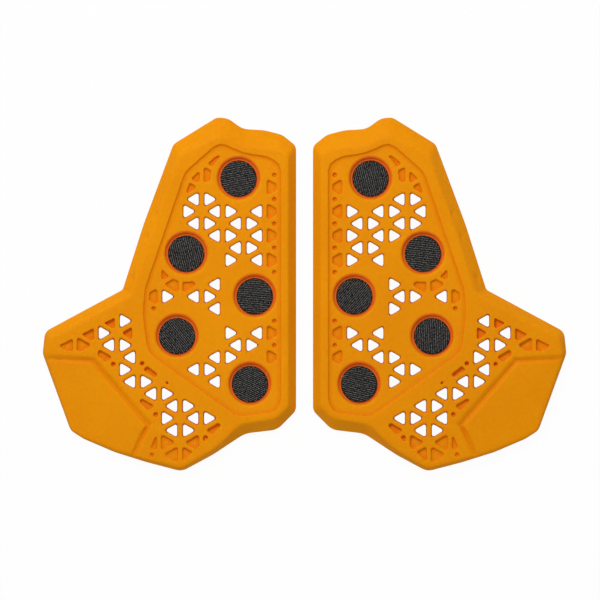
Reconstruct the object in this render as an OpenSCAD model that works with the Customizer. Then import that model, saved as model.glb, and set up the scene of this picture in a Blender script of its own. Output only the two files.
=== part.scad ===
// Pair of mirrored impact pads for a garment pocket, each with five hook-tape discs.
// Millimetres, +Z is the outer face of the pads, +X and -X are the wing sides.

/* [Pads] */
// height of one pad from its bottom apex to its top apex
pad_h = 242; // [200:1:290]
// thickness of the moulding at its flat rim
pad_t = 12; // [10:0.5:18]
// half of the gap left between the two pads
half_gap = 5.8; // [3:0.1:30]
// depth of the broad inner field below the rim
field_step = 1.3; // [0.5:0.1:2]
// how much the wing drops towards its far edge
wing_drop = 2.4; // [0:0.1:3]
// further drop of the bare wing panel towards its outer edge
panel_drop = 1.6; // [0:0.1:2.4]
// depth of the groove around the bare wing panel
groove_depth = 1.8; // [0.6:0.1:2.4]
// depth of the three scoops in the lateral bevel
scoop_depth = 0.8; // [0.2:0.1:1.2]

/* [Vents] */
// width of one column of the triangular lattice
cell_w = 14.43; // [13:0.01:16]
// width of the ribs between vents at the outer face
rib_w = 3; // [2.4:0.1:4.5]
// corner radius of the vents
vent_r = 1.2; // [0.6:0.1:1.6]
// draft of each vent wall over the full thickness
vent_draft = 0.6; // [0.1:0.1:1]
// depth of the blind pockets that fill the edge of the lattice
pocket_depth = 1.8; // [0.8:0.1:3]
// diameter of the small blind dots
dot_d = 2.7; // [1.5:0.1:4]
// bare ring kept between a disc recess and the lattice
recess_margin = 4; // [2:0.1:6]

/* [Hook discs] */
// diameter of the hook-tape discs
disc_d = 25; // [18:0.1:27]
// thickness of the woven backing of a hook disc
tape_t = 0.9; // [0.6:0.1:1.4]
// height of the hook pile above the backing
pile_t = 1.3; // [0.8:0.1:2]
// thickness of the adhesive under a hook disc
glue_t = 0.3; // [0.1:0.05:0.6]
// clearance around a hook disc at the recess floor
disc_gap = 1.6; // [0.5:0.1:3]
// depth of the disc recesses below the field
recess_depth = 2.7; // [2:0.1:4]
// width of the flared mouth of the recesses
mouth_w = 1.5; // [0.5:0.1:2.5]

/* [Hidden] */
$fn = 96;
k = pad_h / 242;
field_z = pad_t - field_step;
floor_z = field_z - recess_depth;
recess_r = disc_d / 2 + disc_gap;
mouth_r = recess_r + mouth_w;
cell_h = cell_w / sqrt(3);
cell_in = cell_w / 3;
wing_shift = 0.3;
// moves the pads so that their height is centred on the middle of the pair
centre_y = -0.34;

// outline corners [x, y, corner radius, height of the edge wall], x from the medial edge
outline = [
    [0, 101.8, 6, 4], [9.5, 109.4, 12, 4], [22, 112.6, 30, 4], [36.5, 113.3, 14, 4],
    [46.5, 120.6, 10, 4], [54.2, 121.4, 7, 4], [84, 103, 7, 4], [104.6, 47.6, 90, 4],
    [118.7, 3.3, 3, 4.5], [172, -25.4, 7, 5], [173.6, -40.4, 9, 6], [154.4, -93.2, 8, 6],
    [145.4, -98.9, 20, 6], [124.2, -108, 50, 6], [102.2, -114.9, 60, 6],
    [78.2, -121.2, 10, 6], [56.9, -109.7, 60, 5], [35, -95.2, 18, 4],
    [12.8, -92.6, 12, 4], [0, -79.6, 7, 4]
];
// rim corners above them [x, y, corner radius], one for each outline corner
rim = [
    [5.5, 95.6, 4], [11.5, 98.8, 8], [22, 100.4, 60], [35.5, 101, 14],
    [46.5, 107, 8], [52.5, 108.2, 6], [79.6, 95.4, 6], [97.2, 45.4, 90],
    [111.7, 0.3, 4], [168.2, -30.4, 6], [170.6, -40.2, 8], [152.2, -91.6, 6],
    [143.9, -96.8, 18], [122.9, -105.8, 48], [101.2, -112.6, 58],
    [79.2, -118.2, 8], [54.7, -105.1, 60], [38.4, -88.9, 10],
    [13.6, -84.8, 10], [5.5, -76.8, 5]
];
// corners of the broad inner field, on its upper edge [x, y, corner radius]
field = [
    [9.5, 90.3, 9], [20.5, 95.6, 16], [36.6, 97.6, 40], [52.4, 105.8, 9],
    [76.8, 84.4, 14], [104.4, 4, 26], [105.7, -13.5, 40], [102.3, -40.2, 14],
    [40.2, -84.6, 12], [12.3, -81.6, 9], [9.5, -71.3, 12]
];
// corners of the line at which the lattice inside the field stops [x, y, corner radius]
lattice_edge = [
    [10, 88.4, 9], [21, 93.8, 16], [36, 95.6, 40], [51, 103.4, 9],
    [75.4, 82, 14], [86.9, 49, 12], [90.8, 44.6, 12], [104.4, 3.6, 26],
    [105.6, -12, 40], [102, -40, 14], [40, -84.4, 12], [12.6, -81.4, 9], [10, -72, 12]
];
// corners of the perforated band across the wing [x, y]
band = [
    [163.2, -38.5], [163.2, -35.5], [125.2, -16.5], [112.7, -10.5], [112.3, -41],
    [50.8, -89.5], [77.8, -114.1], [82.2, -115.5], [90.2, -113.5], [102.2, -111.5],
    [95.2, -95], [95.7, -84.5], [106.2, -74.5], [127.2, -49], [136.2, -41], [140.2, -38.5]
];
// centre line of the groove around the bare wing panel [x, y]
groove = [[169.5, -44.4], [139.2, -45.6], [101.3, -89.5], [109.6, -105.8]];
// centres of the disc recesses [x, y]
discs = [[39.4, 79.4], [75.3, 28], [28.3, -1.2], [81.5, -28.5], [31.6, -61.4]];
// centres of the scoops in the lateral bevel [x, y, share of the bevel's height]
scoops = [[95.8, 55.7, 0.72], [102, 39.8, 0.63], [112.2, 12, 0.46]];
// lattice cells that run right through: [column, rows]
vents = [
    [0, [1, 2, 3, 4, 5, 11, 12]], [1, [1, 2, 3, 4, 5, 11, 12, 13]],
    [2, [0, 1, 2, 3, 7, 8, 9, 13, 14, 15]], [3, [0, 1, 2, 8, 14]], [4, [8]]
];
wing_vents = [
    [2, [18]], [3, [17, 18, 19]], [4, [16, 17, 18, 19]], [5, [15, 16]],
    [6, [10, 12, 13, 14, 15]], [7, [11, 12]]
];
// lattice cells left as blind pockets, cut short by the edge of the field: [column, rows]
edge_pockets = [[-1, [-1, 1, 3, 5, 11, 13]]];
pockets = [[2, [-3, -2]], [3, [-2, -1, 7]], [4, [6, 7]], [5, [8]]];
wing_pockets = [
    [2, [19, 20]], [3, [20, 21]], [4, [15, 20, 21]], [5, [14, 17, 20]],
    [6, [11]], [7, [10, 13]], [8, [11, 12]], [9, [12]]
];
// small round blind dots [x, y]
dots = [
    [14.9, 81.9], [14.9, 65.2], [14.9, 48.5], [14.9, 31.9], [14.9, 15.2],
    [14.9, -18.2], [14.9, -34.8], [97.5, -9.6], [105.4, -47.3], [125.2, -47.8],
    [96.1, -82.1], [98.7, -109.9]
];

function unit(v) = v / norm(v);
// arc of steps + 1 points that rounds corner b between a and c with radius r
function corner(a, b, c, r, steps) =
    let (u = unit(a - b), w = unit(c - b))
    let (half = acos(u * w) / 2, mid = unit(u + w))
    let (side = sign(u[0] * w[1] - u[1] * w[0]))
    let (o = b + mid * (r / sin(half)), sweep = 180 - 2 * half)
    let (start = atan2(-mid[1], -mid[0]) + side * sweep / 2)
    [for (i = [0:steps]) let (t = start - side * sweep * i / steps) o + r * [cos(t), sin(t)]];
// corner list turned into a rounded loop in millimetres
function rounded(list, steps) = [
    for (i = [0:len(list) - 1])
        let (n = len(list), a = list[(i + n - 1) % n], b = list[i], c = list[(i + 1) % n])
        each corner(k * [a[0], a[1]], k * [b[0], b[1]], k * [c[0], c[1]], k * b[2], steps)
];
// loop moved inwards by d (clockwise loops)
function inset(loop, d) = [
    for (i = [0:len(loop) - 1])
        let (n = len(loop), u = unit(loop[i] - loop[(i + n - 1) % n]))
        let (w = unit(loop[(i + 1) % n] - loop[i]), s = unit(u + w))
        loop[i] + d / (s * u) * [s[1], -s[0]]
];
function plan(list) = [for (p = list) k * p];
function lift(loop, z) = [for (p = loop) [p[0], p[1], z]];
// side triangles between two loops of n points
function skirt(n) = [
    for (i = [0:n - 1]) each [[i, (i + 1) % n, n + (i + 1) % n], [i, n + (i + 1) % n, n + i]]
];
function fan_up(n, first, hub) = [for (i = [0:n - 1]) [hub, first + i, first + (i + 1) % n]];
function fan_down(n, first, hub) = [for (i = [0:n - 1]) [hub, first + (i + 1) % n, first + i]];

// rounded triangle around its centre with one point towards +x
function tri(r_in, r) = [
    for (v = [0, -120, -240])
        for (t = [50, 0, -50])
            2 * (r_in - r) * [cos(v), sin(v)] + r * [cos(v + t), sin(v + t)]
];
function line_x(col) = 21.4 + cell_w * col;
function row_y(row) = 65.2 - cell_h * row;
function faces_in(col, row) = (col + row) % 2 == 0;
function cell_x(col, row) = faces_in(col, row) ? line_x(col + 1) - cell_in : line_x(col) + cell_in;

// closed solid between a lower loop and an upper loop, both seen whole from one hub point
module frustum(low, z_low, high, z_high, hub) {
    n = len(low);
    points = concat(lift(low, z_low), lift(high, z_high), [[hub[0], hub[1], z_low], [hub[0], hub[1], z_high]]);
    polyhedron(points, concat(skirt(n), fan_down(n, 0, 2 * n), fan_up(n, n, 2 * n + 1)));
}

// everything above a plane that starts at height pad_t on point p and falls along heading by slope
module above_slope(p, heading, slope) {
    translate([k * p[0], k * p[1], pad_t])
        rotate([0, 0, heading])
            rotate([0, slope, 0])
                translate([0, -200, 0])
                    cube([260, 400, 40]);
}

module wing_cutter() {
    above_slope([104.4, -40.2], -53.3, atan(wing_drop / (71 * k)));
}

// tilted bare panel inside the groove
module panel_cutter() {
    intersection() {
        translate([0, 0, pad_t - wing_drop * 0.42])
            translate([k * 120, k * -67.5, 0])
                rotate([0, 0, -41])
                    rotate([0, atan(panel_drop / (45 * k)) + atan(wing_drop / (71 * k)), 0])
                        translate([0, -200, 0])
                            cube([260, 400, 40]);
        translate([0, 0, -1])
            linear_extrude(pad_t + 2)
                polygon(plan(concat(groove, [[120, -140], [220, -140], [220, -44]])));
    }
}

// V-shaped channel, steep on the side of the perforated band
module groove_cutter() {
    path = concat([[178.5, -44]], groove, [[113.8, -114]]);
    n = len(path);
    function along(i) = unit(path[min(i + 1, n - 1)] - path[max(i - 1, 0)]);
    function drop(p) = max(0, ((p[0] - 104.4) * 0.598 - (p[1] + 40.2) * 0.8015) / 71 * wing_drop);
    rings = [
        for (i = [0:n - 1])
            let (p = path[i], u = along(i), side = [u[1], -u[0]], z = pad_t - drop(p))
            let (a = k * (p + 6.4 * side), b = k * (p - 5.6 * side))
            each [
                [a[0], a[1], z + groove_depth], [k * p[0], k * p[1], z - groove_depth],
                [b[0], b[1], z + groove_depth]
            ]
    ];
    sides = [
        for (j = [0:n - 2])
            for (i = [0:2])
                let (a = j * 3 + i, b = j * 3 + (i + 1) % 3, c = a + 3, d = b + 3)
                each [[a, d, b], [a, c, d]]
    ];
    polyhedron(rings, concat(sides, [[0, 1, 2], [3 * n - 1, 3 * n - 2, 3 * n - 3]]));
}

// drafted triangular vent through the full thickness
module vent(col, row, shift) {
    turn = faces_in(col, row) ? 180 : 0;
    r_in = cell_in - rib_w / 2;
    top = tri(r_in * k, vent_r * k);
    small = (r_in * k - vent_draft) / (r_in * k);
    over = 1 + (1 - small) / pad_t;
    translate([k * (cell_x(col, row) + shift), k * row_y(row), 0])
        rotate([0, 0, turn])
            frustum(
                [for (p = top) p * (small - (1 - small) / pad_t)], -1,
                [for (p = top) p * over], pad_t + 1, [0, 0]
            );
}

module cells_2d(list, shift) {
    for (c = list)
        for (row = c[1])
            translate([k * (cell_x(c[0], row) + shift), k * row_y(row)])
                rotate(faces_in(c[0], row) ? 180 : 0)
                    polygon(tri((cell_in - rib_w / 2) * k, vent_r * k));
}

module keep_outs_2d() {
    for (p = discs)
        translate(k * p)
            circle(mouth_r + recess_margin);
}

module pockets_2d() {
    difference() {
        intersection() {
            cells_2d(pockets, 0);
            polygon(inset(rounded(lattice_edge, 2), 4.3 * k));
        }
        keep_outs_2d();
    }
    difference() {
        intersection() {
            cells_2d(edge_pockets, 0);
            polygon(inset(rounded(lattice_edge, 2), 3.5 * k));
        }
        keep_outs_2d();
    }
}

module wing_pockets_2d() {
    intersection() {
        cells_2d(wing_pockets, wing_shift);
        polygon(plan(band));
    }
}

// flared round recess for a hook disc
module recess() {
    translate([0, 0, floor_z])
        cylinder(h = pad_t, r = recess_r);
    translate([0, 0, field_z - mouth_w * 0.8])
        cylinder(h = mouth_w * 1.6, r1 = recess_r, r2 = recess_r + 2 * mouth_w);
}

// three shallow spindle-shaped scoops along the lateral bevel
module scoop_cutter() {
    out = unit([0.9515, 0.3075, 0.95]);
    for (p = scoops)
        translate([k * p[0], k * p[1], 4 + (pad_t - 4) * p[2]] + (3.6 - scoop_depth) * out)
            rotate([0, 0, -72])
                rotate([0, 90, 0])
                    rotate_extrude()
                        polygon([[0, -9], [1.3, -7.6], [2.9, -4], [3.6, 0], [2.9, 4], [1.3, 7.6], [0, 9]]);
}

// solid with upright edge walls and a bevel that rises from them to the flat rim
module moulded_block() {
    low = rounded(outline, 4);
    high = rounded(rim, 4);
    n = len(low);
    shoulder = [for (i = [0:n - 1]) [low[i][0], low[i][1], outline[floor(i / 5)][3]]];
    hub = [64 * k, -20 * k];
    points = concat(
        lift(low, 0), shoulder, lift(high, pad_t), [[hub[0], hub[1], 0], [hub[0], hub[1], pad_t]]
    );
    up = [for (f = skirt(n)) [f[0] + n, f[1] + n, f[2] + n]];
    polyhedron(points, concat(skirt(n), up, fan_down(n, 0, 3 * n), fan_up(n, 2 * n, 3 * n + 1)));
}

module scooped_block() {
    difference() {
        moulded_block();
        scoop_cutter();
    }
}

module wing_block() {
    difference() {
        difference() {
            difference() {
                scooped_block();
                wing_cutter();
            }
            panel_cutter();
        }
        groove_cutter();
    }
}

module field_block() {
    difference() {
        wing_block();
        translate([0, 0, field_z])
            linear_extrude(pad_t)
                polygon(inset(rounded(field, 2), 0.9 * k));
    }
}

module recessed_block() {
    difference() {
        field_block();
        for (p = discs)
            translate([k * p[0], k * p[1], 0])
                recess();
        for (p = dots)
            translate([k * p[0], k * p[1], field_z - pocket_depth])
                cylinder(h = pad_t, d = dot_d);
    }
}

module pocketed_block() {
    difference() {
        difference() {
            recessed_block();
            translate([0, 0, field_z - pocket_depth])
                linear_extrude(pad_t)
                    pockets_2d();
        }
        translate([0, 0, pad_t - wing_drop / 2 - pocket_depth])
            linear_extrude(pad_t)
                wing_pockets_2d();
    }
}

module pad() {
    difference() {
        difference() {
            pocketed_block();
            for (c = vents)
                for (row = c[1])
                    vent(c[0], row, 0);
        }
        for (c = wing_vents)
            for (row = c[1])
                vent(c[0], row, wing_shift);
    }
}

module hook_disc(i) {
    translate([k * discs[i][0], k * discs[i][1], floor_z + glue_t]) {
        cylinder(h = tape_t, d = disc_d);
        translate([0, 0, tape_t])
            cylinder(h = pile_t, d = disc_d - 0.6);
    }
}

module adhesive_disc(i) {
    translate([k * discs[i][0], k * discs[i][1], floor_z])
        cylinder(h = glue_t, d = disc_d - 1);
}

module on_right() {
    translate([half_gap, k * centre_y, 0])
        children();
}

module on_left() {
    mirror([1, 0, 0])
        on_right()
            children();
}

module left_pad() color([0.88, 0.5, 0.03]) on_left() pad();
module right_pad() color([0.88, 0.5, 0.03]) on_right() pad();

module left_hook_disc_1() color([0.1, 0.1, 0.1]) on_left() hook_disc(0);
module left_hook_disc_2() color([0.1, 0.1, 0.1]) on_left() hook_disc(1);
module left_hook_disc_3() color([0.1, 0.1, 0.1]) on_left() hook_disc(2);
module left_hook_disc_4() color([0.1, 0.1, 0.1]) on_left() hook_disc(3);
module left_hook_disc_5() color([0.1, 0.1, 0.1]) on_left() hook_disc(4);
module right_hook_disc_1() color([0.1, 0.1, 0.1]) on_right() hook_disc(0);
module right_hook_disc_2() color([0.1, 0.1, 0.1]) on_right() hook_disc(1);
module right_hook_disc_3() color([0.1, 0.1, 0.1]) on_right() hook_disc(2);
module right_hook_disc_4() color([0.1, 0.1, 0.1]) on_right() hook_disc(3);
module right_hook_disc_5() color([0.1, 0.1, 0.1]) on_right() hook_disc(4);

module left_adhesive_disc_1() color([0.8, 0.8, 0.75]) on_left() adhesive_disc(0);
module left_adhesive_disc_2() color([0.8, 0.8, 0.75]) on_left() adhesive_disc(1);
module left_adhesive_disc_3() color([0.8, 0.8, 0.75]) on_left() adhesive_disc(2);
module left_adhesive_disc_4() color([0.8, 0.8, 0.75]) on_left() adhesive_disc(3);
module left_adhesive_disc_5() color([0.8, 0.8, 0.75]) on_left() adhesive_disc(4);
module right_adhesive_disc_1() color([0.8, 0.8, 0.75]) on_right() adhesive_disc(0);
module right_adhesive_disc_2() color([0.8, 0.8, 0.75]) on_right() adhesive_disc(1);
module right_adhesive_disc_3() color([0.8, 0.8, 0.75]) on_right() adhesive_disc(2);
module right_adhesive_disc_4() color([0.8, 0.8, 0.75]) on_right() adhesive_disc(3);
module right_adhesive_disc_5() color([0.8, 0.8, 0.75]) on_right() adhesive_disc(4);

left_pad();
right_pad();
left_hook_disc_1();
left_hook_disc_2();
left_hook_disc_3();
left_hook_disc_4();
left_hook_disc_5();
right_hook_disc_1();
right_hook_disc_2();
right_hook_disc_3();
right_hook_disc_4();
right_hook_disc_5();
left_adhesive_disc_1();
left_adhesive_disc_2();
left_adhesive_disc_3();
left_adhesive_disc_4();
left_adhesive_disc_5();
right_adhesive_disc_1();
right_adhesive_disc_2();
right_adhesive_disc_3();
right_adhesive_disc_4();
right_adhesive_disc_5();
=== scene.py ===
import math
import random

import bmesh
import bpy
from mathutils import Matrix, Vector
from mathutils.bvhtree import BVHTree


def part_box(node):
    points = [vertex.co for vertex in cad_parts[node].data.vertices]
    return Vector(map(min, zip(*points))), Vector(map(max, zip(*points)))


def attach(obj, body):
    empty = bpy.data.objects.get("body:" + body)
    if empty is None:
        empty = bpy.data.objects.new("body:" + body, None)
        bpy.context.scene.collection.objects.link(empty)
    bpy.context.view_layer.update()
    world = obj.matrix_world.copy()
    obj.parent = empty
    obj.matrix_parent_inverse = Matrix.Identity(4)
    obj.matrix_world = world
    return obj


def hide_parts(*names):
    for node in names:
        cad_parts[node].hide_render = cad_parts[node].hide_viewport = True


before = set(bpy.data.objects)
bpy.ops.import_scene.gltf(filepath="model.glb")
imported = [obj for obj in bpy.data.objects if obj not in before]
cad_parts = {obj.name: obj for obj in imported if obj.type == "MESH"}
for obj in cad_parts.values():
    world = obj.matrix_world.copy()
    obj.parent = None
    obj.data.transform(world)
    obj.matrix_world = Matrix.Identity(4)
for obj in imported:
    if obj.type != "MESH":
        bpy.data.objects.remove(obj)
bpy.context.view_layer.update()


# ------------------------------------------------------------------ table, lamp and camera
# The pads lie face up on a white laminate table top. A wide soft lamp stands beyond their top
# edge, a little to the left, and a white surround fills the rest. The camera looks straight down.
MM = 0.001
WHITE = (1, 1, 1, 1)
TABLE_SIZE = 8.0
TABLE_DROP = 0.3 * MM
TABLE_GREY = (0.8, 0.8, 0.8, 1)
TABLE_GLOW = 0.96
SURROUND_LIGHT = 0.54
LAMP_PLACE = Vector((-0.36, 0.85, 1.25))
LAMP_SIZE = 0.55
LAMP_POWER = 13.6
VIEW_WIDTH = 0.411
VIEW_PLACE = (-0.0031, -0.0041, 1.2)
VIEW_REACH = 20.0


class Signal:
    """A shader value that Python's own signs work on."""

    def __init__(self, socket):
        self.socket = socket

    def maths(self, operation, *values):
        tree = self.socket.id_data
        node = tree.nodes.new("ShaderNodeMath")
        node.operation = operation
        for slot, value in zip(node.inputs, values):
            if isinstance(value, Signal):
                tree.links.new(value.socket, slot)
            else:
                slot.default_value = value
        return Signal(node.outputs[0])

    def __add__(self, other):
        return self.maths("ADD", self, other)

    __radd__ = __add__

    def __mul__(self, other):
        return self.maths("MULTIPLY", self, other)

    __rmul__ = __mul__

    def __sub__(self, other):
        return self.maths("SUBTRACT", self, other)

    def __rsub__(self, other):
        return self.maths("SUBTRACT", other, self)

    def sine(self):
        return self.maths("SINE", self)

    def larger(self, other):
        return self.maths("MAXIMUM", self, other)

    def smaller(self, other):
        return self.maths("MINIMUM", self, other)

    def clamped(self):
        return self.larger(0.0).smaller(1.0)


class Finish:
    """The nodes of one material, added in the order in which the finish is built up."""

    def __init__(self, owner):
        owner.use_nodes = True
        self.owner = owner
        self.tree = owner.node_tree
        self.tree.nodes.clear()

    def node(self, kind, settings, sockets, output=0):
        """Adds one node, sets it, fills or links its sockets and gives one of its outputs."""
        made = self.tree.nodes.new("ShaderNode" + kind)
        for name, value in settings.items():
            setattr(made, name, value)
        for name, value in sockets.items():
            if isinstance(value, Signal):
                self.tree.links.new(value.socket, made.inputs[name])
            else:
                made.inputs[name].default_value = value
        return Signal(made.outputs[output]) if made.outputs else None

    def place(self):
        """Where a point is on the object, in metres."""
        return self.node("TexCoord", {}, {}, "Object")

    def mottle(self, scale, detail, roughness=0.5):
        """Soft random spots from 0 to 1, of which about scale go in a metre."""
        sockets = {"Vector": self.place(), "Scale": scale, "Detail": detail, "Roughness": roughness}
        return self.node("TexNoise", {}, sockets)

    def blend(self, mask, first, second):
        """The first colour where the mask is 0, the second where it is 1."""
        return self.node("Mix", {"data_type": "RGBA"}, {0: mask, 6: first, 7: second}, 2)

    def surface(self, shader, world=False):
        self.node("OutputWorld" if world else "OutputMaterial", {}, {"Surface": shader})


def seen_as_backdrop(finish):
    """1 for rays from the camera and for mirror or clear rays, 0 for the light on the object."""
    seen = finish.node("LightPath", {}, {}, "Is Camera Ray")
    glossy = finish.node("LightPath", {}, {}, "Is Glossy Ray")
    clear = finish.node("LightPath", {}, {}, "Is Transmission Ray")
    return seen.larger(glossy).larger(clear)


def laid_out(name, shape, finish):
    """Turns a finished bmesh into an object that stands where it was modelled."""
    mesh = bpy.data.meshes.new(name)
    shape.to_mesh(mesh)
    shape.free()
    mesh.materials.append(finish.owner)
    piece = bpy.data.objects.new(name, mesh)
    bpy.context.scene.collection.objects.link(piece)
    return piece


laminate = Finish(bpy.data.materials.new("white_table_laminate"))
lit_white = laminate.node("BsdfDiffuse", {}, {"Color": TABLE_GREY, "Roughness": 0.3})
plain_white = laminate.node("Emission", {}, {"Color": WHITE, "Strength": 1.0})
glow = seen_as_backdrop(laminate) * TABLE_GLOW
laminate.surface(laminate.node("MixShader", {}, {0: glow, 1: lit_white, 2: plain_white}))

shape = bmesh.new()
bmesh.ops.create_grid(shape, x_segments=1, y_segments=1, size=TABLE_SIZE / 2)
bmesh.ops.translate(shape, verts=shape.verts, vec=(0, 0, -TABLE_DROP))
laid_out("table_top", shape, laminate)

room = Finish(bpy.data.worlds.new("white_surround"))
bpy.context.scene.world = room.owner
room_light = seen_as_backdrop(room) * (1 - SURROUND_LIGHT) + SURROUND_LIGHT
room.surface(room.node("Background", {}, {"Color": WHITE, "Strength": room_light}), world=True)

lamp_data = bpy.data.lights.new("soft_lamp", "AREA")
lamp_data.shape = "DISK"
lamp_data.size = LAMP_SIZE
lamp_data.energy = LAMP_POWER
soft_lamp = bpy.data.objects.new("soft_lamp", lamp_data)
bpy.context.scene.collection.objects.link(soft_lamp)
soft_lamp.location = LAMP_PLACE
soft_lamp.rotation_euler = (-LAMP_PLACE).to_track_quat("-Z", "Y").to_euler()

camera_data = bpy.data.cameras.new("overhead_camera")
camera_data.type = "ORTHO"
camera_data.ortho_scale = VIEW_WIDTH
camera_data.clip_end = VIEW_REACH
overhead_camera = bpy.data.objects.new("overhead_camera", camera_data)
bpy.context.scene.collection.objects.link(overhead_camera)
overhead_camera.location = VIEW_PLACE
bpy.context.scene.camera = overhead_camera
bpy.context.scene.view_settings.view_transform = "Standard"


# ------------------------------------------------------------------ moulded foam pads
# Each pad is one moulding of soft orange impact foam with a dense satin skin. The mould leaves
# every edge a little round, a fine grain on the skin and a slow unevenness in its colour. Creases,
# hollows and a ring round each hook-disc recess get painted shade, redder as well as darker, for
# the shade there and for the light there that has been in the foam.
SIDES = ("left", "right")
DISC_NUMBERS = range(1, 6)

WELD = 0.002 * MM
SKIN_VOXEL = 0.5 * MM
SKIN_EASING = 5
SKIN_TRIANGLES = 190000
SHARP_BELOW = 2.0 * MM
BEVEL_FOOT = 6.3 * MM
BEVEL_HEAD = 7.5 * MM
# how far a face of the bevel looks up, from 0 for a wall to 1 for a floor
BEVEL_STEEPEST = 0.15
BEVEL_FLATTEST = 0.98
BEVEL_REACH = 2.8 * MM
BEVEL_BLEND = 2.0 * MM
BEVEL_EASING = 45
LEAST_EASING = 0.1
EASING_LEVELS = 10

FOAM_ORANGE = (0.8, 0.284, 0.0, 1)
FOAM_DEEP = (0.745, 0.25, 0.0, 1)
# painted shade colours: the redder, darker foam painted into creases and hollows where the pad's
# own walls keep the light out
FOAM_PAINTED_CREASE_SHADE = (0.72, 0.125, 0.0, 1)
FOAM_PAINTED_HOLLOW_SHADE = (0.88, 0.12, 0.015, 1)
CLOUD_SHARE = 0.55
TONE_MIDDLE = 0.38
TONE_CONTRAST = 3.2
# masks of the painted crease and hollow shade
CREASE_REACH = 3.2 * MM
CREASE_GAIN = 6.0
CREASE_START = 0.18
UPPER_ABOVE = 9.8 * MM
UPPER_FADE = 0.6 * MM
LOWER_SHARE = 0.5
HOLLOW_REACH = 9.0 * MM
HOLLOW_GAIN = 1.4
HOLLOW_START = 0.3
DEEP_BELOW = 5.5 * MM
DEEP_FADE = 1.0 * MM
SHALLOW_SHARE = 0.2
# ring of painted shade round each hook-disc recess, its middle raised so the shade reaches further
# on the upper side
SEAT_RADIUS = 14.4 * MM
SEAT_FADE = 0.9 * MM
SEAT_RISE = 0.9 * MM
SEAT_SHARE = 0.75
GRAIN_DEPTH = 0.06 * MM
LIGHT_DEPTH = 3.0 * MM
LIGHT_SPREAD = (1.0, 0.06, 0.01)


def with_modifier(piece, kind, **settings):
    """Adds one modifier, sets it and makes its result the piece's own mesh."""
    modifier = piece.modifiers.new(kind.lower(), kind)
    for name, value in settings.items():
        setattr(modifier, name, value)
    dressed = piece.evaluated_get(bpy.context.evaluated_depsgraph_get())
    mesh = bpy.data.meshes.new_from_object(dressed)
    piece.modifiers.clear()
    old = piece.data
    piece.data = mesh
    bpy.data.meshes.remove(old)


def is_outer_bevel(face):
    """Whether a face is one of the slopes that run round the pad from its rim to its edge wall."""
    heights = [corner.co.z for corner in face.verts]
    spans_bevel = min(heights) < BEVEL_FOOT and max(heights) > BEVEL_HEAD
    return spans_bevel and BEVEL_STEEPEST < face.normal.z < BEVEL_FLATTEST


def outer_bevel(shape):
    """A search tree of the outer bevel's triangles."""
    slopes = [face for face in shape.faces if is_outer_bevel(face)]
    return BVHTree.FromPolygons(
        [corner.co[:] for face in slopes for corner in face.verts],
        [(3 * i, 3 * i + 1, 3 * i + 2) for i in range(len(slopes))],
    )


def easing_shares(mesh, bevel):
    """How much each vertex near the outer bevel is eased, as lists of vertices by their share."""
    shares = {}
    for vertex in mesh.vertices:
        if vertex.co.z < SHARP_BELOW:
            continue
        away = bevel.find_nearest(vertex.co, BEVEL_REACH)[3]
        if away is not None:
            above = min(1, max(LEAST_EASING, (vertex.co.z - BEVEL_HEAD) / BEVEL_BLEND))
            share = (1 - away / BEVEL_REACH) * above
            level = math.ceil(EASING_LEVELS * share) / EASING_LEVELS
            shares.setdefault(level, []).append(vertex.index)
    return shares


def moulded_skin(side, finish):
    """The pad's solid with the soft edges that the mould gives it."""
    shape = bmesh.new()
    shape.from_mesh(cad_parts[side + "_pad"].data)
    bmesh.ops.remove_doubles(shape, verts=shape.verts, dist=WELD)
    bmesh.ops.triangulate(shape, faces=shape.faces)
    shape.normal_update()
    bevel = outer_bevel(shape)
    piece = laid_out(side + "_moulded_pad", shape, finish)
    with_modifier(piece, "REMESH", mode="VOXEL", voxel_size=SKIN_VOXEL, use_smooth_shade=True)
    group = piece.vertex_groups.new(name="bevel")
    for share, members in easing_shares(piece.data, bevel).items():
        group.add(members, share, "REPLACE")
    with_modifier(piece, "SMOOTH", factor=0.7, iterations=BEVEL_EASING, vertex_group="bevel",
                  use_x=False, use_y=False)
    with_modifier(piece, "SMOOTH", factor=0.5, iterations=SKIN_EASING)
    triangles = 2 * len(piece.data.polygons)
    with_modifier(piece, "DECIMATE", ratio=SKIN_TRIANGLES / triangles)
    piece.data.polygons.foreach_set("use_smooth", [True] * len(piece.data.polygons))
    return piece


def shaded_by_foam(finish, reach, gain, start):
    """How far the pad's own walls close round a point, from 0 in the open to 1 where they close in
    all round; it masks the painted shade.
    """
    settings = {"samples": 12, "only_local": True}
    open_sky = finish.node("AmbientOcclusion", settings, {"Distance": reach}, "AO")
    return ((1 - open_sky) * gain - start).clamped()


def reach_from_seats(finish):
    """Distance across either pad's face from the middle of its nearest hook-disc recess."""
    place = finish.place()
    folded = finish.node("VectorMath", {"operation": "ABSOLUTE"}, {0: place})
    sideways = finish.node("SeparateXYZ", {}, {0: folded}, "X")
    upwards = finish.node("SeparateXYZ", {}, {0: place}, "Y")
    flat = finish.node("CombineXYZ", {}, {"X": sideways, "Y": upwards, "Z": 0.0})
    reach = None
    for number in DISC_NUMBERS:
        low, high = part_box(f"right_hook_disc_{number}")
        # the ring's middle is raised by SEAT_RISE, so the painted shade reaches further on each
        # recess's upper side
        seat = ((low[0] + high[0]) / 2, (low[1] + high[1]) / 2 + SEAT_RISE, 0)
        away = finish.node("VectorMath", {"operation": "DISTANCE"}, {0: flat, 1: seat}, "Value")
        reach = reach.smaller(away) if reach else away
    return reach


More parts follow.
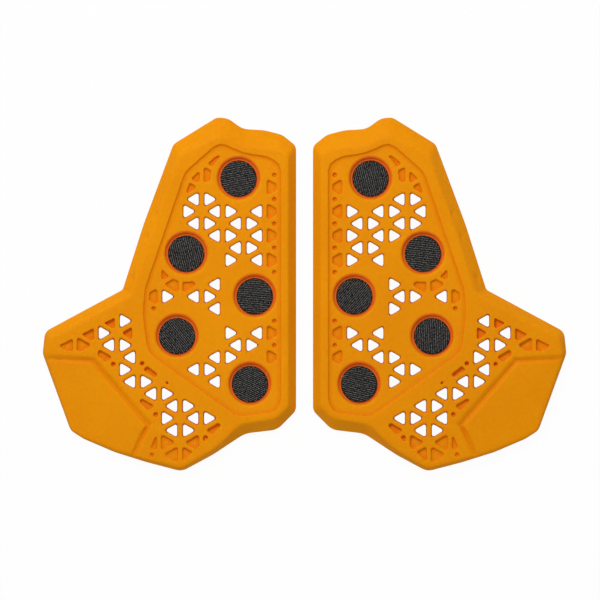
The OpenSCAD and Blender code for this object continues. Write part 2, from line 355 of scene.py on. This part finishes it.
foam = Finish(bpy.data.materials.new("moulded_orange_foam"))
clouds = foam.mottle(scale=24.0, detail=3.0, roughness=0.55)
specks = foam.mottle(scale=420.0, detail=2.0, roughness=0.6)
grain = foam.mottle(scale=1500.0, detail=2.0, roughness=0.6)
tone = clouds * CLOUD_SHARE + specks * (1 - CLOUD_SHARE)
tone = ((tone - TONE_MIDDLE) * TONE_CONTRAST).clamped()
height = foam.node("SeparateXYZ", {}, {0: foam.place()}, "Z")
deep = ((DEEP_BELOW - height) * (1 / DEEP_FADE)).clamped()
# painted shade: a redder ring round each hook-disc recess, left out in the deep vents
painted_seat_shade = (1 - (reach_from_seats(foam) - SEAT_RADIUS) * (1 / SEAT_FADE)).clamped() * (1 - deep)
# painted shade in hollows: deep red where the pad's walls close in, full strength below DEEP_BELOW
# and weak above
painted_hollow_shade = shaded_by_foam(foam, HOLLOW_REACH, HOLLOW_GAIN, HOLLOW_START)
painted_hollow_shade = painted_hollow_shade * (deep * (1 - SHALLOW_SHARE) + SHALLOW_SHARE)
upper = ((height - UPPER_ABOVE) * (1 / UPPER_FADE)).clamped()
# painted shade in creases: redder along steps, grooves and pocket edges, stronger on the upper face
painted_crease_shade = shaded_by_foam(foam, CREASE_REACH, CREASE_GAIN, CREASE_START)
painted_crease_shade = painted_crease_shade * (upper * (1 - LOWER_SHARE) + LOWER_SHARE)
foam_colour = foam.blend(tone, FOAM_ORANGE, FOAM_DEEP)
# the foam's own tone, then the painted crease shade, then the painted hollow and recess-ring shade
# over it
foam_colour = foam.blend(painted_crease_shade, foam_colour, FOAM_PAINTED_CREASE_SHADE)
foam_colour = foam.blend(painted_hollow_shade.larger(painted_seat_shade * SEAT_SHARE), foam_colour, FOAM_PAINTED_HOLLOW_SHADE)
skin_bumps = {"Strength": 0.25, "Distance": GRAIN_DEPTH, "Height": grain + specks * 1.6}
foam.surface(
    foam.node(
        "BsdfPrincipled",
        {},
        {
            "Base Color": foam_colour,
            "Roughness": grain * 0.15 + 0.5,
            "Specular IOR Level": 0.06,
            "Subsurface Weight": 0.2,
            "Subsurface Radius": LIGHT_SPREAD,
            "Subsurface Scale": LIGHT_DEPTH,
            "Normal": foam.node("Bump", {}, skin_bumps),
        },
    )
)

for side in SIDES:
    pad = moulded_skin(side, foam)
    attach(pad, side)
    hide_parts(side + "_pad")


# ------------------------------------------------------------------ adhesive films
# A thin round film of clear acrylic adhesive holds each hook disc to its recess floor. It is
# die-cut a little smaller than the disc, so that none of it shows.
ADHESIVE_TINT = (0.62, 0.56, 0.42, 1)
ADHESIVE_PALE = (0.78, 0.74, 0.62, 1)

film = Finish(bpy.data.materials.new("acrylic_adhesive_film"))
streaks = film.mottle(scale=300.0, detail=3.0)
film_colour = film.blend(streaks, ADHESIVE_TINT, ADHESIVE_PALE)
film.surface(
    film.node("BsdfPrincipled", {}, {"Base Color": film_colour, "Roughness": streaks * 0.2 + 0.25})
)

for side in SIDES:
    for number in DISC_NUMBERS:
        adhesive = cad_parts[f"{side}_adhesive_disc_{number}"]
        adhesive.data.materials.clear()
        adhesive.data.materials.append(film.owner)


# ------------------------------------------------------------------ woven backing of the hook discs
# Black nylon hook tape die-cut into rounds. The backing is a tight ribbed weave, sealed on
# its underside, and its cut edge is slightly round and uneven. It is stuck down by the adhesive.
BACKING_THICKNESS = 0.9 * MM
BACKING_STEPS = 72
BACKING_LIP = 0.25 * MM
EDGE_BAND = 2.5 * MM
EDGE_WANDER = 0.09 * MM
ROW_PITCH = 1.25 * MM
# heading of the hook rows on each disc, in degrees from the object's X axis
ROW_HEADINGS = {"left": (-10, 78, 4, -50, -25), "right": (78, 5, 50, 88, 12)}
RIB_SHARE = 0.7
RIB_DEPTH = 0.15 * MM
PICKS_PER_ROW = 2
TAPE_BLACK = (0.004, 0.004, 0.004, 1)
TAPE_RIB = (0.016, 0.015, 0.014, 1)

weave = Finish(bpy.data.materials.new("woven_tape_backing"))
tape_place = weave.node("UVMap", {"uv_map": "weave"}, {})
along = weave.node("SeparateXYZ", {}, {0: tape_place}, "X")
across = weave.node("SeparateXYZ", {}, {0: tape_place}, "Y")
ribs = (across * (2 * math.pi)).sine() * 0.5 + 0.5
picks = (along * (2 * math.pi * PICKS_PER_ROW)).sine() * 0.5 + 0.5
cloth = ribs * RIB_SHARE + picks * ribs * (1 - RIB_SHARE)
weave.surface(
    weave.node(
        "BsdfPrincipled",
        {},
        {
            "Base Color": weave.blend(cloth, TAPE_BLACK, TAPE_RIB),
            "Roughness": 0.7,
            "Specular IOR Level": 0.12,
            "Normal": weave.node("Bump", {}, {"Distance": RIB_DEPTH, "Height": cloth}),
        },
    )
)


def disc_place(side, number):
    """Centre of a disc at the top of its adhesive, and its radius."""
    low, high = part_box(f"{side}_hook_disc_{number}")
    middle = Vector(((low[0] + high[0]) / 2, (low[1] + high[1]) / 2, low[2]))
    return middle, (high[0] - low[0]) / 2


def row_heading(side, number):
    """Heading of the hook rows on one disc, in radians."""
    return math.radians(ROW_HEADINGS[side][number - 1])


def disc_seed(side, number):
    """A seed of its own for each disc, so that no two are cut and filled alike."""
    return number + 10 * SIDES.index(side)


def tape_backing(radius, heading, seed):
    """A die-cut round: its half section spun about its middle, with an uneven cut edge."""
    dice = random.Random(seed)
    shape = bmesh.new()
    top = BACKING_THICKNESS
    section = [(0, 0), (radius - BACKING_LIP, 0), (radius, BACKING_LIP),
               (radius, top - BACKING_LIP), (radius - BACKING_LIP, top),
               (radius - EDGE_BAND, top), (0, top)]
    corners = [shape.verts.new((x, 0, z)) for x, z in section]
    edges = [shape.edges.new(pair) for pair in zip(corners, corners[1:])]
    bmesh.ops.spin(shape, geom=corners + edges, cent=(0, 0, 0), axis=(0, 0, 1),
                   angle=2 * math.pi, steps=BACKING_STEPS, use_merge=True)
    bmesh.ops.remove_doubles(shape, verts=shape.verts, dist=WELD)
    bmesh.ops.recalc_face_normals(shape, faces=shape.faces)
    wander = [dice.uniform(-1, 0) * EDGE_WANDER for _ in range(BACKING_STEPS)]
    for corner in shape.verts:
        out = corner.co.to_2d()
        if out.length > radius - 2 * BACKING_LIP:
            turn = math.atan2(out.y, out.x) / (2 * math.pi)
            out = out * (1 + wander[round(turn * BACKING_STEPS) % BACKING_STEPS] / radius)
            corner.co.x, corner.co.y = out
    rows = shape.loops.layers.uv.new("weave")
    unturned = Matrix.Rotation(-heading, 2)
    for face in shape.faces:
        face.smooth = True
        for loop in face.loops:
            loop[rows].uv = unturned @ loop.vert.co.to_2d() / ROW_PITCH
    return shape


for side in SIDES:
    for number in DISC_NUMBERS:
        middle, radius = disc_place(side, number)
        shape = tape_backing(radius, row_heading(side, number), disc_seed(side, number))
        bmesh.ops.translate(shape, verts=shape.verts, vec=middle)
        backing = laid_out(f"{side}_tape_backing_{number}", shape, weave)
        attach(backing, side)
        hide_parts(f"{side}_hook_disc_{number}")


# ------------------------------------------------------------------ hook pile
# Bent nylon filaments stand in straight rows on the backing. Each is woven through it as a
# loop and cut on one side, so that it stands straight and bends over along its row.
HOOK_THICKNESS = 0.145 * MM
HOOK_SHANK = 0.62 * MM
HOOK_BEND = 0.36 * MM
HOOK_BEND_TURN = math.radians(200)
HOOK_BEND_STEPS = 6
HOOK_SPACING = 1.02 * MM
HOOK_MARGIN = 0.1 * MM
HOOK_CUT_BACK = 0.45 * MM
HOOK_STRAY = (0.08 * MM, 0.06 * MM)
HOOK_LEAN = 0.08
HOOK_TILT = 0.07
HOOK_SHORTEST = 0.86
HOOKS_MISSING = 0.02
HOOK_BLACK = (0.05, 0.048, 0.045, 1)
# the grey is painted highlight on the hooks, standing in for the sheen of light on black nylon
HOOK_PAINTED_SHEEN_GREY = (0.38, 0.37, 0.35, 1)

filament = Finish(bpy.data.materials.new("black_nylon_hooks"))
# painted highlight: patches of grey in the hooks' colour stand in for the sheen on the black nylon
painted_sheen = filament.mottle(scale=900.0, detail=1.0)
filament_colour = filament.blend((painted_sheen * 3.0 - 1.0).clamped(), HOOK_BLACK, HOOK_PAINTED_SHEEN_GREY)
filament.surface(
    filament.node(
        "BsdfPrincipled",
        {},
        {"Base Color": filament_colour, "Roughness": 0.42, "Specular IOR Level": 0.35},
    )
)


def one_hook():
    """A square filament: a straight shank, then a bend of 200 degrees over to one side."""
    shape = bmesh.new()
    bmesh.ops.create_circle(shape, cap_ends=True, segments=4, radius=HOOK_THICKNESS)
    foot = shape.faces[:]
    for face in foot:
        face.normal_update()
    raised = bmesh.ops.extrude_face_region(shape, geom=foot)["geom"]
    shank_top = [item for item in raised if isinstance(item, bmesh.types.BMVert)]
    bend_start = [item for item in raised if isinstance(item, bmesh.types.BMFace)]
    bmesh.ops.translate(shape, verts=shank_top, vec=(0, 0, HOOK_SHANK))
    bmesh.ops.spin(shape, geom=bend_start, cent=(HOOK_BEND, 0, HOOK_SHANK), axis=(0, 1, 0),
                   angle=HOOK_BEND_TURN, steps=HOOK_BEND_STEPS, use_merge=False)
    bmesh.ops.delete(shape, geom=bend_start, context="FACES_ONLY")
    bmesh.ops.remove_doubles(shape, verts=shape.verts, dist=WELD)
    bmesh.ops.recalc_face_normals(shape, faces=shape.faces)
    mesh = bpy.data.meshes.new("one_hook")
    shape.to_mesh(mesh)
    shape.free()
    return mesh


def hook_rows(radius, heading, seed, hook):
    """Rows of hooks that fill a round. They face one way in odd rows and the other in even."""
    dice = random.Random(seed)
    reach = int(radius / ROW_PITCH) + 1
    shape = bmesh.new()
    size = len(hook.vertices)
    turn = Matrix.Rotation(heading, 4, "Z")
    for row in range(-reach, reach + 1):
        slip = dice.uniform(0, HOOK_SPACING)
        # hooks stand closer than rows do, so a row has two more places at each end
        for step in range(-reach - 2, reach + 3):
            spot = Vector((step * HOOK_SPACING + slip - HOOK_BEND, row * ROW_PITCH, 0))
            spot += Vector((dice.gauss(0, HOOK_STRAY[0]), dice.gauss(0, HOOK_STRAY[1]), 0))
            if spot.length > radius - HOOK_CUT_BACK or dice.random() < HOOKS_MISSING:
                continue
            facing = 0 if row % 2 else math.pi
            lean = Matrix.Rotation(dice.gauss(facing, HOOK_LEAN), 4, "Z")
            tilt = Matrix.Rotation(dice.gauss(0, HOOK_TILT), 4, "X")
            height = Matrix.Diagonal((1, 1, dice.uniform(HOOK_SHORTEST, 1.0), 1))
            stand = turn @ Matrix.Translation(spot) @ lean @ tilt @ height
            shape.from_mesh(hook)
            shape.verts.ensure_lookup_table()
            bmesh.ops.transform(shape, matrix=stand, verts=shape.verts[-size:])
    return shape


hook = one_hook()
for side in SIDES:
    for number in DISC_NUMBERS:
        middle, radius = disc_place(side, number)
        heading = row_heading(side, number)
        shape = hook_rows(radius - HOOK_MARGIN, heading, disc_seed(side, number), hook)
        backing_top = middle + Vector((0, 0, BACKING_THICKNESS))
        bmesh.ops.translate(shape, verts=shape.verts, vec=backing_top)
        pile = laid_out(f"{side}_hook_pile_{number}", shape, filament)
        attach(pile, side)
